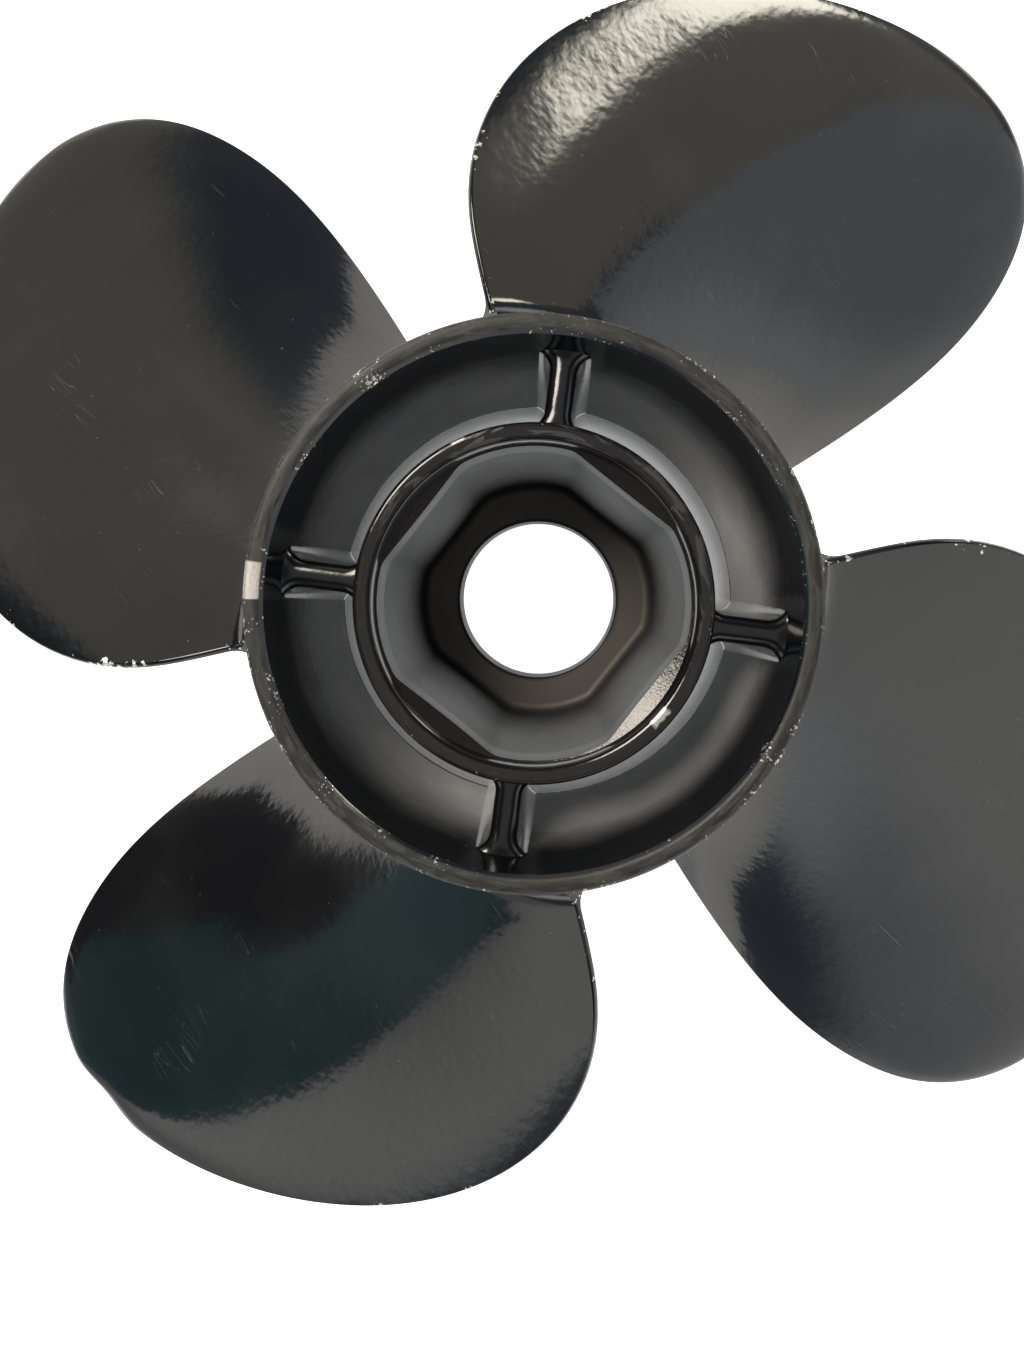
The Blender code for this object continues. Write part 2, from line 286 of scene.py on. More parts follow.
def turned(name, outline):
    """A closed (radius, height) outline turned about the shaft."""
    points = []
    for step in range(ROUND_STEPS):
        angle = math.tau * step / ROUND_STEPS
        points += [(r * math.cos(angle), r * math.sin(angle), z) for r, z in outline]
    faces = grid_faces(ROUND_STEPS, len(outline), close_rows=True, close_columns=True)
    return mesh_object(name, points, faces)


# --- barrel -------------------------------------------------------------------------------------


def bore_radius(height):
    """Inner radius of the barrel: it narrows from the front rim to the waist, and widens again aft."""
    if height >= WAIST_Z:
        share = (FRONT_Z - height) / (FRONT_Z - WAIST_Z)
        return RIM_BORE_RADIUS - (RIM_BORE_RADIUS - WAIST_RADIUS) * share**1.25
    return blend(AFT_BORE_RADIUS, WAIST_RADIUS, (height - FLARE_Z) / (WAIST_Z - FLARE_Z))


def make_front_rim(material):
    """The land at the front of the barrel, with a rounded outer corner and a chamfered bore."""
    outer = RIM_OUTER_ROUND
    inner = RIM_BORE_CHAMFER
    outline = arc((BARREL_RADIUS - outer, FRONT_Z - outer), outer, 90, 0, 6)
    outline.append((BARREL_RADIUS, RIM_LOW_Z))
    outline += [(bore_radius(z), z) for z in np.linspace(RIM_LOW_Z, FRONT_Z - inner, 8)]
    outline.append((RIM_BORE_RADIUS + inner * 0.8, FRONT_Z - inner * 0.25))
    outline.append((RIM_BORE_RADIUS + inner * 1.3, FRONT_Z))
    stand_for(turned("front_rim_land", outline), "front_rim", material)


def make_barrel(material):
    front = [(BARREL_RADIUS, RIM_LOW_Z), (BARREL_RADIUS, WAIST_Z)]
    front += [(bore_radius(z), z) for z in np.linspace(WAIST_Z, RIM_LOW_Z, 24)]
    stand_for(turned("barrel_front_wall", front), "barrel_front", material)
    rear = [(BARREL_RADIUS, WAIST_Z), (BARREL_RADIUS, FLARE_Z)]
    rear += [(bore_radius(z), z) for z in np.linspace(FLARE_Z, WAIST_Z - 0.0002, 12)]
    stand_for(turned("barrel_rear_wall", rear), "barrel_rear", material)


def make_diffuser_ring(material):
    outline = [(BARREL_RADIUS, FLARE_Z)]
    for share in np.linspace(0.1, 1.0, 14):
        outward = (FLARE_RADIUS - BARREL_RADIUS) * share**2
        outline.append((BARREL_RADIUS + outward, FLARE_Z * (1 - share) + FLARE_LIP * share))
    lip = FLARE_LIP_ROUND
    outline += arc((FLARE_RADIUS - lip, lip), lip, 0, -90, 6)
    outline.append((FLARE_RADIUS - FLARE_LIP, 0.0))
    for share in np.linspace(0.05, 0.95, 12):
        inward = (FLARE_RADIUS - FLARE_LIP - AFT_BORE_RADIUS) * (1 - share) ** 2
        outline.append((AFT_BORE_RADIUS + inward, FLARE_Z * share))
    outline.append((AFT_BORE_RADIUS, FLARE_Z))
    stand_for(turned("diffuser_flare", outline), "diffuser_ring", material)


# --- hub ----------------------------------------------------------------------------------------


def hub_radius(height):
    share = (height - HUB_REAR_Z) / (HUB_FRONT_Z - HUB_REAR_Z)
    return blend(HUB_REAR_RADIUS, HUB_FRONT_RADIUS, share)


def socket_radius(height, angle):
    """Distance from the shaft to the socket's wall: a tapered circle cut by four soft-cornered flats."""
    mouth_z = HUB_FRONT_Z - MOUTH_DEPTH
    circle = blend(SOCKET_FLOOR_RADIUS, SOCKET_TOP_RADIUS, (height - FLOOR_Z) / (mouth_z - FLOOR_Z))
    from_flat = (angle - SOCKET_TURN + math.pi / 4) % (math.pi / 2) - math.pi / 4
    flat = circle * SOCKET_FLAT_RATIO / math.cos(from_flat)
    return (circle + flat - math.hypot(circle - flat, SOCKET_CORNER)) / 2


def socket_ring(height, grow=0.0):
    ring = []
    for step in range(ROUND_STEPS):
        angle = math.tau * step / ROUND_STEPS
        radius = socket_radius(height, angle) + grow
        ring.append((radius * math.cos(angle), radius * math.sin(angle), height))
    return ring


def circle_ring(radius, height):
    angles = [math.tau * step / ROUND_STEPS for step in range(ROUND_STEPS)]
    return [(radius * math.cos(a), radius * math.sin(a), height) for a in angles]


def ringed(name, rings):
    """A closed tube from rings listed down its outer side and back up its inner side."""
    points = [point for ring in rings for point in ring]
    faces = grid_faces(len(rings), ROUND_STEPS, close_rows=True, close_columns=True)
    return mesh_object(name, points, faces)


def ledge_ring(share, foot=False):
    """A ring between the socket's edge and the mouth, on ledges that slope down to the socket."""
    mouth_z = HUB_FRONT_Z - MOUTH_DEPTH
    outer = MOUTH_RADIUS + LEDGE_OVERHANG
    ring = []
    for step in range(ROUND_STEPS):
        angle = math.tau * step / ROUND_STEPS
        inner = socket_radius(mouth_z, angle) + (0.0 if foot else 0.0001)
        radius = blend(inner, outer, share)
        height = mouth_z - LEDGE_SLOPE * (outer - radius) - (0.0003 if foot else 0.0)
        ring.append((radius * math.cos(angle), radius * math.sin(angle), height))
    return ring


def make_hub_collar(material):
    """The hub's front ring: rounded outer corner, a double line round the mouth, and the socket's ledges."""
    mouth_z = HUB_FRONT_Z - MOUTH_DEPTH
    corner = COLLAR_ROUND
    edge = arc((HUB_FRONT_RADIUS - corner, HUB_FRONT_Z - corner), corner, 90, 0, 6)
    rings = [circle_ring(r, z) for r, z in edge]
    rings.append(circle_ring(hub_radius(COLLAR_LOW_Z), COLLAR_LOW_Z))
    wall_start = len(rings)
    rings += [socket_ring(z) for z in np.linspace(COLLAR_LOW_Z, mouth_z - 0.0024, COLLAR_WALL_ROWS)]
    rings.append(ledge_ring(0.0, foot=True))
    wall_end = len(rings)
    rings += [ledge_ring(share) for share in (0.0, 0.3, 0.65, 1.0)]
    rings += [circle_ring(MOUTH_RADIUS + out, mouth_z + MOUTH_DEPTH * up) for out, up in MOUTH_LINE]
    piece = ringed("hub_collar", rings)
    on_wall = np.zeros((len(rings), ROUND_STEPS))
    on_wall[wall_start:wall_end] = 1.0
    mark_points(piece, "socket_wall", on_wall.ravel())
    stand_for(piece, "hub_front_collar", material)


def make_socket(material):
    """The socket's tapered wall, with a fillet at its foot."""
    rings = [circle_ring(hub_radius(COLLAR_LOW_Z), COLLAR_LOW_Z)]
    rings.append(circle_ring(hub_radius(FLOOR_Z), FLOOR_Z))
    foot = SOCKET_FOOT_ROUND
    for step in range(7):
        angle = math.pi / 2 * step / 6
        inward = foot * (1 - math.sin(angle))
        rings.append(socket_ring(FLOOR_Z + foot * (1 - math.cos(angle)), -inward))
    rings += [socket_ring(z) for z in np.linspace(FLOOR_Z + foot * 1.5, COLLAR_LOW_Z, 14)]
    stand_for(ringed("socket_wall", rings), "drive_socket", material)


def make_hub_flange(material):
    """The socket's floor with the shaft hole, and the washer recess behind it."""
    chamfer = FLOOR_CHAMFER
    low = FLOOR_Z - FLOOR_THICKNESS
    hole = SHAFT_HOLE_RADIUS
    outline = [(hub_radius(FLOOR_Z), FLOOR_Z)]
    outline += arc((HUB_REAR_RADIUS - chamfer, HUB_REAR_Z + chamfer), chamfer, 0, -90, 4)
    outline += [(WASHER_SEAT_RADIUS + chamfer, HUB_REAR_Z), (WASHER_SEAT_RADIUS, HUB_REAR_Z + chamfer)]
    outline += [(WASHER_SEAT_RADIUS, low), (hole + chamfer, low), (hole, low + chamfer)]
    outline += [(hole, z) for z in np.linspace(low + chamfer * 2, FLOOR_Z - chamfer * 2, 4)]
    outline += arc((hole + chamfer, FLOOR_Z - chamfer), chamfer, 180, 90, 5)
    stand_for(turned("hub_flange", outline), "hub_rear_flange", material)


# --- ribs ---------------------------------------------------------------------------------------


def rib_fillet(distance, size):
    """How far a fillet of this size stands out from the rib's side, at a distance from the wall."""
    return size - math.sqrt(size**2 - (size - distance) ** 2) if distance < size else 0.0


def rib_outline(share):
    """(aside, height) points round the rib's section, at a share of the way from the hub to the barrel."""
    span = bore_radius(RIB_TOP_Z) - HUB_FRONT_RADIUS
    flare = rib_fillet(span * share, RIB_HUB_FILLET) + rib_fillet(span * (1 - share), RIB_WALL_FILLET)
    half = RIB_THICKNESS / 2 + flare
    outline = []
    for step in range(RIB_OVER + 1):
        angle = math.pi * step / RIB_OVER
        outline.append((half * math.cos(angle), RIB_TOP_Z - RIB_EDGE * (1 - math.sin(angle) ** 0.7)))
    depths = [(i / RIB_LEVELS) ** 1.3 for i in range(1, RIB_LEVELS + 1)]
    levels = [blend(RIB_TOP_Z - RIB_EDGE, RIB_LOW_Z, depth) for depth in depths]
    sides = [(half * (1 + RIB_DRAFT * (RIB_TOP_Z - z)), z) for z in levels]
    return outline + [(-aside, z) for aside, z in sides] + [(aside, z) for aside, z in reversed(sides)]


def make_rib(index, material):
    """A web between hub and barrel that widens into both walls with fillets, with a rounded front edge."""
    shares = [0.5 - 0.5 * math.cos(math.pi * i / RIB_ACROSS) for i in range(RIB_ACROSS + 1)]
    rows = []
    for share in shares:
        row = []
        for aside, z in rib_outline(share):
            near = math.sqrt((hub_radius(z) - EMBED) ** 2 - aside**2)
            far = math.sqrt((bore_radius(z) + EMBED) ** 2 - aside**2)
            row.append((blend(near, far, share), aside, z))
        rows.append(row)
    columns = len(rows[0])
    turn = Matrix.Rotation(RIB_TURN + math.tau * index / BLADES, 3, "Z")
    points = [turn @ Vector(point) for row in rows for point in row]
    faces = grid_faces(len(rows), columns, close_columns=True)
    faces.append(tuple(range(columns)))
    faces.append(tuple((len(rows) - 1) * columns + i for i in range(columns)))
    piece = mesh_object(f"rib_web_{index + 1}", points, faces, 50)
    stand_for(piece, f"rib_{index + 1}", material)


# --- blades -------------------------------------------------------------------------------------


def curve_through(places, values, at):
    """The natural cubic spline through these values, read at every place in an array."""
    x = np.array(places)
    y = np.array(values)
    step = np.diff(x)
    system = np.eye(len(x))
    right = np.zeros(len(x))
    for i in range(1, len(x) - 1):
        system[i, i - 1 : i + 2] = (step[i - 1], 2 * (step[i - 1] + step[i]), step[i])
        right[i] = 3 * ((y[i + 1] - y[i]) / step[i] - (y[i] - y[i - 1]) / step[i - 1])
    bend = np.linalg.solve(system, right)
    i = np.clip(np.searchsorted(x, at) - 1, 0, len(step) - 1)
    slope = (y[i + 1] - y[i]) / step[i] - step[i] * (2 * bend[i] + bend[i + 1]) / 3
    along = at - x[i]
    return y[i] + along * (slope + along * (bend[i] + along * (bend[i + 1] - bend[i]) / (3 * step[i])))


def blade_rows():
    """Radius and fillet flare of each section, from inside the barrel's skin to the tip."""
    radii = [BARREL_RADIUS - EMBED]
    flares = [1.0]
    for step in range(FILLET_ROWS):
        angle = math.pi / 2 * step / FILLET_ROWS
        radii.append(BARREL_RADIUS + FILLET_RADIUS * (1 - math.cos(angle)))
        flares.append(1 - math.sin(angle))
    start = BARREL_RADIUS + FILLET_RADIUS
    for step in range(BLADE_ROWS):
        share = blend(1.0, TIP_STOP, step / (BLADE_ROWS - 1))
        radii.append(TIP_RADIUS - (TIP_RADIUS - start) * share**2)
        flares.append(0.0)
    return np.array(radii), np.array(flares)


def section_places():
    """(chord share, side, push past the edge) round a section.

    It runs along the fore side, round the leading edge, back along the aft side and round the trailing edge.
    """
    shares = [0.5 - 0.5 * math.cos(math.pi * i / CHORD_STEPS) for i in range(CHORD_STEPS + 1)]
    sides = [1 - 2 * step / EDGE_STEPS for step in range(1, EDGE_STEPS)]
    fore = [(share, 1.0, 0.0) for share in shares]
    leading = [(1.0, side, 1 - abs(side) ** 4) for side in sides]
    aft = [(share, -1.0, 0.0) for share in reversed(shares)]
    trailing = [(0.0, side, 1 - abs(side) ** 4) for side in reversed(sides)]
    return np.array(fore + leading + aft + trailing)


def blade_sections(radii):
    """Leading edge, trailing edge (radians) and thickness at each radius, each as one column.

    Both edges turn square to the radius at the tip, so they run smoothly against the square root of the
    distance from it.
    """
    shares_at = [math.sqrt(1 - row[0]) for row in BLADE_STATIONS][::-1]
    place = np.sqrt(np.maximum(0.0, 1 - radii / TIP_RADIUS))
    columns = []
    for column, at_tip in ((1, 0.0), (2, 0.0), (3, EDGE_THICKNESS)):
        values = [at_tip] + [row[column] for row in BLADE_STATIONS][::-1]
        columns.append(curve_through([0.0] + shares_at, values, place)[:, None])
    leading, trailing, thickness = columns
    return np.radians(leading), np.radians(trailing), thickness


def blade_surface(radii, flares, places):
    """Points of the blade for every section and every place round it, as an array of rows."""
    leading, trailing, thickness = blade_sections(radii)
    share, side, push = (places[:, i][None, :] for i in range(3))
    radius = radii[:, None]
    flare = flares[:, None]
    turn = blend(trailing, leading, share)
    root_leading = math.radians(BLADE_STATIONS[0][1])
    height = FRONT_Z - LEADING_EDGE_DEPTH + PITCH * (turn - root_leading) / math.tau
    height = height - RAKE * (radius - BARREL_RADIUS)
    cup = CUP_DROP * (1 - (radius / TIP_RADIUS) ** 8)
    height = height - cup * np.maximum(0.0, 1 - share / CUP_SHARE) ** 2
    offset = side * (EDGE_THICKNESS / 2 + FILLET_RADIUS * flare)
    bulge = (thickness - EDGE_THICKNESS) * (1 - np.abs(2 * share - 1) ** 2.2)
    offset = offset + np.where(side >= 1.0, bulge, 0.0)
    lean = np.arctan2(PITCH, math.tau * radius)
    outward = np.where(share > 0.5, 1.0, -1.0)
    chordwise = FILLET_CHORD * flare * (2 * share - 1) + outward * push * EDGE_BULGE
    sideways = chordwise * np.cos(lean) - offset * np.sin(lean)
    height = height + chordwise * np.sin(lean) + offset * np.cos(lean)
    turn = turn + sideways / radius
    return np.stack([radius * np.cos(turn), radius * np.sin(turn), height + 0 * turn], axis=2)


def section_cap(first):
    """Faces across one section, from its fore side to its aft side, so that they follow its curve."""
    aft = CHORD_STEPS + EDGE_STEPS
    end = aft + CHORD_STEPS
    count = end + EDGE_STEPS
    faces = [(i, i + 1, end - i - 1, end - i) for i in range(CHORD_STEPS)]
    faces.append(tuple(range(CHORD_STEPS, aft + 1)))
    faces.append(tuple(i % count for i in range(end, count + 1)))
    return [tuple(first + i for i in face) for face in faces]


def dent_tip(points):
    """Flattens a short stretch of the outline beside the tip, where the blade has been knocked."""
    radius = np.hypot(points[..., 0], points[..., 1])
    angle = np.degrees(np.arctan2(points[..., 1], points[..., 0]))
    near = np.clip((radius / TIP_RADIUS - 0.94) / 0.06, 0.0, 1.0)
    along = np.clip(1 - np.abs(angle - DENT_ANGLE) / DENT_SPREAD, 0.0, 1.0)
    shrink = 1 - DENT_DEPTH / TIP_RADIUS * near * along**2 * (3 - 2 * along)
    points[..., :2] *= shrink[..., None]


def make_blade(index, material):
    radii, flares = blade_rows()
    places = section_places()
    points = blade_surface(radii, flares, places)
    rows, columns = points.shape[:2]
    if index == DENTED_BLADE:
        dent_tip(points)
    turn = math.tau * index / BLADES
    spin = np.array(Matrix.Rotation(turn, 3, "Z"))
    points = points.reshape(-1, 3) @ spin.T
    faces = grid_faces(rows, columns, close_columns=True)
    faces += section_cap(0)
    faces += section_cap((rows - 1) * columns)
    piece = mesh_object(f"blade_skin_{index + 1}", points, faces, 50)
    edge_wear(piece, radii, places)
    stand_for(piece, f"blade_{index + 1}", material)


def edge_wear(piece, radii, places):
    """A value that rises from 0 to 1 within a few millimetres of the leading edge, for the paint's chips."""
    near = np.clip((places[:, 0] - 0.975) / 0.025, 0.0, 1.0)
    mark_points(piece, "edge_wear", np.tile(near, len(radii)))


# --- materials ----------------------------------------------------------------------------------


class Nodes:
    """Short calls that add shader nodes to one tree."""

    def __init__(self, tree):
        self.tree = tree

    def add(self, kind, **settings):
        node = self.tree.nodes.new(kind)
        for name, value in settings.items():
            setattr(node, name, value)
        return node

    def feed(self, node, **inputs):
        """Links or sets inputs by name, with _ for a space."""
        for name, value in inputs.items():
            socket = node.inputs[name.replace("_", " ")]
            if isinstance(value, bpy.types.NodeSocket):
                self.tree.links.new(value, socket)
            else:
                socket.default_value = value

    def math(self, operation, first, second=0.0, clamp=False):
        node = self.add("ShaderNodeMath", operation=operation, use_clamp=clamp)
        for socket, value in zip(node.inputs, (first, second)):
            if isinstance(value, bpy.types.NodeSocket):
                self.tree.links.new(value, socket)
            else:
                socket.default_value = value
        return node.outputs[0]

    def total(self, *values):
        result = values[0]
        for value in values[1:]:
            result = self.math("ADD", result, value)
        return result

    def times(self, *values):
        result = values[0]
        for value in values[1:]:
            result = self.math("MULTIPLY", result, value)
        return result

    def less(self, value):
        return self.math("SUBTRACT", 1.0, value)

    def rise(self, value, start, end, low=0.0, high=1.0):
        """A smooth step from low, at start and before it, to high, at end and beyond."""
        node = self.add("ShaderNodeMapRange", interpolation_type="SMOOTHSTEP")
        self.feed(node, Value=value, From_Min=start, From_Max=end, To_Min=low, To_Max=high)
        return node.outputs["Result"]

    def window(self, value, start, end, soft_start, soft_end):
        """1 between start and end, with soft edges of these widths, and 0 outside."""
        enter = self.rise(value, start - soft_start / 2, start + soft_start / 2)
        leave = self.rise(value, end - soft_end / 2, end + soft_end / 2, 1.0, 0.0)
        return self.times(enter, leave)

    def mix(self, share, first, second):
        node = self.add("ShaderNodeMix", data_type="RGBA")
        colours = [socket for socket in node.inputs if socket.type == "RGBA"]
        for socket, value in zip([node.inputs[0]] + colours, (share, first, second)):
            if isinstance(value, bpy.types.NodeSocket):
                self.tree.links.new(value, socket)
            else:
                socket.default_value = value if socket.type == "VALUE" else (*value, 1.0)
        return [socket for socket in node.outputs if socket.type == "RGBA"][0]

    def noise(self, place, scale, detail=2.0, distortion=0.0):
        node = self.add("ShaderNodeTexNoise")
        self.feed(node, Vector=place, Scale=scale, Detail=detail, Distortion=distortion)
        return node.outputs[0]

    def specks(self, place, spacing, size, share):
        """Round specks: one in some of the cells of a random grid."""
        node = self.add("ShaderNodeTexVoronoi")
        self.feed(node, Vector=place, Scale=1 / spacing)
        pick = self.add("ShaderNodeSeparateColor")
        self.feed(pick, Color=node.outputs["Color"])
        dot = self.rise(node.outputs["Distance"], size / spacing * 0.6, size / spacing, 1.0, 0.0)
        return self.times(dot, self.math("LESS_THAN", pick.outputs[0], share))

    def stretched(self, place, scale, turn=0.0):
        node = self.add("ShaderNodeMapping")
        self.feed(node, Vector=place, Scale=scale, Rotation=(0.0, 0.0, turn))
        return node.outputs[0]

    def scratches(self, place, turn, fineness, sparsity):
        """Thin broken lines that run one way."""
        along = self.stretched(place, (fineness, fineness * 0.035, fineness * 0.2), turn)
        ridge = self.math("ABSOLUTE", self.math("SUBTRACT", self.noise(along, 1.0, 1.0), 0.5))
        line = self.rise(ridge, 0.001, 0.004, 1.0, 0.0)
        return self.times(line, self.rise(self.noise(place, 55.0, 1.0), sparsity, sparsity + 0.06))

    def place(self):
        return self.add("ShaderNodeTexCoord").outputs["Object"]

    def round_shaft(self, place):
        """Distance from the shaft, angle round it and height."""
        parts = self.add("ShaderNodeSeparateXYZ")
        self.feed(parts, Vector=place)
        x, y, z = parts.outputs
        radius = self.math("SQRT", self.total(self.times(x, x), self.times(y, y)))
        return radius, self.math("ARCTAN2", y, x), z

    def unrolled(self, radius, angle, height, mean_radius):
        """Coordinates in metres that run round the shaft, so that marks can follow a ring."""
        node = self.add("ShaderNodeCombineXYZ")
        self.feed(node, X=radius, Y=self.times(angle, mean_radius), Z=height)
        return node.outputs[0]

    def bump(self, height, distance=MICRON):
        node = self.add("ShaderNodeBump")
        self.feed(node, Height=height, Distance=distance)
        return node.outputs[0]


def new_material(name, coat=0.0, specular=0.5):
    material = bpy.data.materials.new(name)
    material.use_nodes = True
    nodes = Nodes(material.node_tree)
    shader = material.node_tree.nodes["Principled BSDF"]
    nodes.feed(shader, IOR=PAINT_IOR, Coat_Weight=coat, Coat_Roughness=0.08, Specular_IOR_Level=specular)
    return material, nodes, shader


def paint_relief(nodes, place):
    """Height in microns of sprayed paint: orange peel on a slightly wavy casting."""
    peel = nodes.times(nodes.noise(place, 360.0, 1.5), 45.0)
    fine = nodes.times(nodes.noise(place, 1100.0, 1.0), 5.0)
    wave = nodes.times(nodes.noise(place, 26.0, 1.0), 420.0)
    return nodes.total(peel, fine, wave)


def blade_paint():
    """Gloss black paint with dust, fine scratches and chips to bare metal along the leading edge."""
    material, nodes, shader = new_material("gloss_black_paint")
    place = nodes.place()
    relief = paint_relief(nodes, place)
    dust = nodes.specks(place, 0.0042, 0.00022, 0.35)
    lines = nodes.math(
        "MAXIMUM", nodes.scratches(place, 0.5, 240.0, 0.62), nodes.scratches(place, 1.9, 300.0, 0.64)
    )
    smudge = nodes.rise(nodes.noise(place, 19.0, 3.0, 0.4), 0.42, 0.7)
    wear = nodes.add("ShaderNodeAttribute", attribute_name="edge_wear").outputs["Fac"]
    chips = nodes.total(nodes.noise(place, 700.0, 3.0), nodes.times(nodes.noise(place, 60.0, 1.0), 0.8))
    chips = nodes.rise(nodes.total(chips, nodes.times(wear, 0.25)), 1.34, 1.38)
    chips = nodes.times(chips, nodes.rise(wear, 0.05, 0.3))

    colour = nodes.mix(nodes.noise(place, 9.0), PAINT_BLACK, PAINT_WARM_BLACK)
    colour = nodes.mix(nodes.times(smudge, 0.05), colour, DUST)
    colour = nodes.mix(nodes.math("MAXIMUM", dust, nodes.times(lines, 0.4)), colour, DUST)
    colour = nodes.mix(chips, colour, BARE_METAL)
    rough = nodes.total(nodes.times(smudge, 0.06), nodes.times(lines, 0.2), nodes.times(chips, 0.3), 0.1)
    relief = nodes.total(relief, nodes.times(dust, 12.0), nodes.times(lines, -3.0))
    relief = nodes.total(relief, nodes.times(chips, -60.0))
    nodes.feed(shader, Base_Color=colour, Roughness=rough, Metallic=chips, Normal=nodes.bump(relief))
    return material


def passage_paint(name, whole):
    """Gloss black outside and near the rim; in the passage it thins to a dry grey overspray with depth,
    except for a thin black band of painted shade along the waist's edge.
    """
    material, nodes, shader = new_material(name)
    place = nodes.place()
    radius, _, height = nodes.round_shaft(place)
    inside = 1.0 if whole else nodes.rise(radius, 0.0572, 0.0588, 1.0, 0.0)
    cloud = nodes.times(nodes.total(nodes.noise(place, 70.0, 4.0), -0.5), 0.006)
    level = nodes.total(height, cloud)
    deep = nodes.rise(level, OVERSPRAY_FULL_Z, OVERSPRAY_START_Z, 1.0, 0.0)
    # Painted shade: a thin band along the waist's edge is kept gloss black, without overspray, for the dark
    # line of shade along that edge
    lip = nodes.total(height, nodes.times(cloud, 0.1))
    lip = nodes.rise(lip, WAIST_Z + 0.0004, WAIST_Z + 0.0011, 1.0, 0.0)
    lip = nodes.times(lip, nodes.rise(height, WAIST_Z - 0.0006, WAIST_Z - 0.0002))
    dry = nodes.times(inside, deep, nodes.less(lip))
    grain = nodes.noise(place, 2600.0, 2.0)
    tone = nodes.total(nodes.times(grain, 0.6), nodes.times(nodes.noise(place, 120.0, 3.0), 0.4))
    overspray = nodes.mix(nodes.rise(tone, 0.36, 0.64), OVERSPRAY_DARK, OVERSPRAY_LIGHT)
    dust = nodes.specks(place, 0.005, 0.00025, 0.3)

    colour = nodes.mix(nodes.noise(place, 9.0), PAINT_BLUE_BLACK, PAINT_BLACK)
    colour = nodes.mix(dry, colour, overspray)
    colour = nodes.mix(dust, colour, DUST)
    rough = nodes.total(nodes.times(dry, 0.4), nodes.times(nodes.noise(place, 30.0), 0.06), 0.12)
    relief = nodes.total(paint_relief(nodes, place), nodes.times(grain, dry, 14.0))
    nodes.feed(shader, Base_Color=colour, Roughness=rough, Normal=nodes.bump(relief))
    return material


def rim_nicks(nodes, place, radius, top):
    """Small spots of bare metal, most of them along the land's two edges."""
    outer = nodes.rise(radius, BARREL_RADIUS - 0.0014, BARREL_RADIUS - 0.0004)
    inner = nodes.rise(radius, RIM_BORE_RADIUS + 0.0007, RIM_BORE_RADIUS + 0.0015, 1.0, 0.0)
    edge = nodes.times(nodes.math("MAXIMUM", outer, nodes.times(inner, 0.7)), top)
    nicks = nodes.total(nodes.noise(place, 1600.0, 3.0), nodes.times(nodes.noise(place, 150.0, 1.0), 0.6))
    nicks = nodes.rise(nodes.total(nicks, nodes.times(edge, 0.12)), 1.06, 1.10)
    return nodes.times(nicks, top)


def rim_paint():
    """Paint scuffed to dark grey-brown on the land, nicked bright along both edges, with one bare patch."""
    material, nodes, shader = new_material("worn_rim_paint")
    place = nodes.place()
    radius, angle, height = nodes.round_shaft(place)
    ring = nodes.unrolled(radius, angle, height, BARREL_RADIUS)
    along = nodes.stretched(ring, (900.0, 160.0, 500.0))
    scuff = nodes.rise(nodes.noise(along, 1.0, 5.0, 0.6), 0.4, 0.72)
    patch = nodes.rise(nodes.noise(place, 75.0, 3.0), 0.4, 0.62)
    top = nodes.rise(height, FRONT_Z - 0.0022, FRONT_Z - 0.0009)
    nicks = rim_nicks(nodes, place, radius, top)
    bare = nodes.window(angle, math.radians(RIM_PATCH[0]), math.radians(RIM_PATCH[1]), 0.008, 0.008)
    bare = nodes.times(bare, nodes.rise(radius, RIM_BORE_RADIUS + 0.0006, RIM_BORE_RADIUS + 0.0009), top)
    worn = nodes.times(top, nodes.rise(radius, RIM_BORE_RADIUS + 0.0003, RIM_BORE_RADIUS + 0.0008))
    metal = nodes.math("MAXIMUM", nicks, bare)

    colour = nodes.mix(scuff, WORN_DARK, WORN_LIGHT)
    colour = nodes.mix(nodes.times(patch, 0.5), colour, WORN_BROWN)
    colour = nodes.mix(worn, PAINT_BLUE_BLACK, colour)
    colour = nodes.mix(metal, colour, nodes.mix(nodes.noise(place, 1500.0), BARE_METAL, DULL_METAL))
    rough = nodes.total(nodes.times(worn, 0.3), nodes.times(scuff, worn, 0.15), nodes.times(bare, 0.1), 0.15)
    grit = nodes.times(nodes.noise(place, 1600.0, 3.0), worn, 30.0)
    relief = nodes.total(paint_relief(nodes, place), nodes.times(scuff, worn, 25.0), grit)
    relief = nodes.total(relief, nodes.times(metal, -70.0))
    nodes.feed(shader, Base_Color=colour, Roughness=rough, Metallic=nodes.times(metal, 0.9))
    nodes.feed(shader, Normal=nodes.bump(relief))
    return material


def collar_metal(nodes, place, radius, angle, top):
    """Metal on the hub's front ring: bare nicks and one bare chip on its outer edge, and one ragged bright
    metal patch that is a painted highlight.
    """
    rim = nodes.rise(radius, HUB_FRONT_RADIUS - 0.0012, HUB_FRONT_RADIUS - 0.0005)
    nicks = nodes.times(nodes.rise(nodes.noise(place, 700.0, 3.0), 0.69, 0.71), rim, top)
    chip = nodes.window(angle, math.radians(COLLAR_CHIP[0]), math.radians(COLLAR_CHIP[1]), 0.02, 0.02)
    # Painted highlight: a ragged patch of bright metal where a lamp's highlight shows on the ring
    patch = nodes.window(angle, math.radians(COLLAR_HIGHLIGHT_PATCH[0]), math.radians(COLLAR_HIGHLIGHT_PATCH[1]), 0.03, 0.03)
    ragged = nodes.total(radius, nodes.times(nodes.noise(place, 500.0, 2.0), 0.0016))
    patch = nodes.times(patch, nodes.window(ragged, 0.0362, 0.0384, 0.0004, 0.0004), top)
    metal = nodes.math("MAXIMUM", nicks, nodes.times(chip, rim, top))
    return nodes.math("MAXIMUM", metal, patch)


